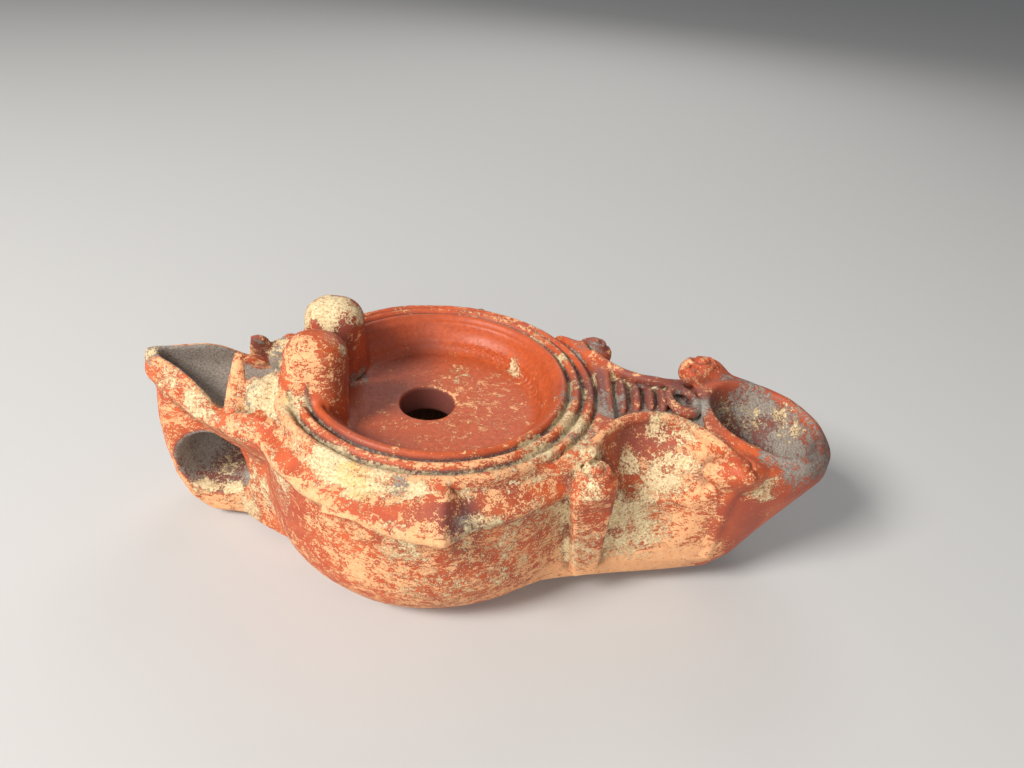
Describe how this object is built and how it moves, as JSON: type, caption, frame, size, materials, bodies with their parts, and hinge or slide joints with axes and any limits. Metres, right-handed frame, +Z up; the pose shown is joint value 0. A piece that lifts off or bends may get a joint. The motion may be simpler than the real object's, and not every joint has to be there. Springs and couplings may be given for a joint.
{
  "type": "oil lamp",
  "caption": "Hollow terracotta oil lamp: round bowl with a dished top and filling hole, a volute nozzle with a wick hole, and a pierced handle under a leaf.",
  "frame": {"origin": "centre of the flat base that the lamp stands on", "axes": "+X along the lamp from the bowl's centre to the nozzle, +Y to the far side when the nozzle is at the right, +Z up"},
  "size_m": [0.173, 0.0996, 0.06],
  "materials": {
    "terracotta": null
  },
  "bodies": {
    "root": {"lamp": "terracotta"}
  },
  "joints": []
}
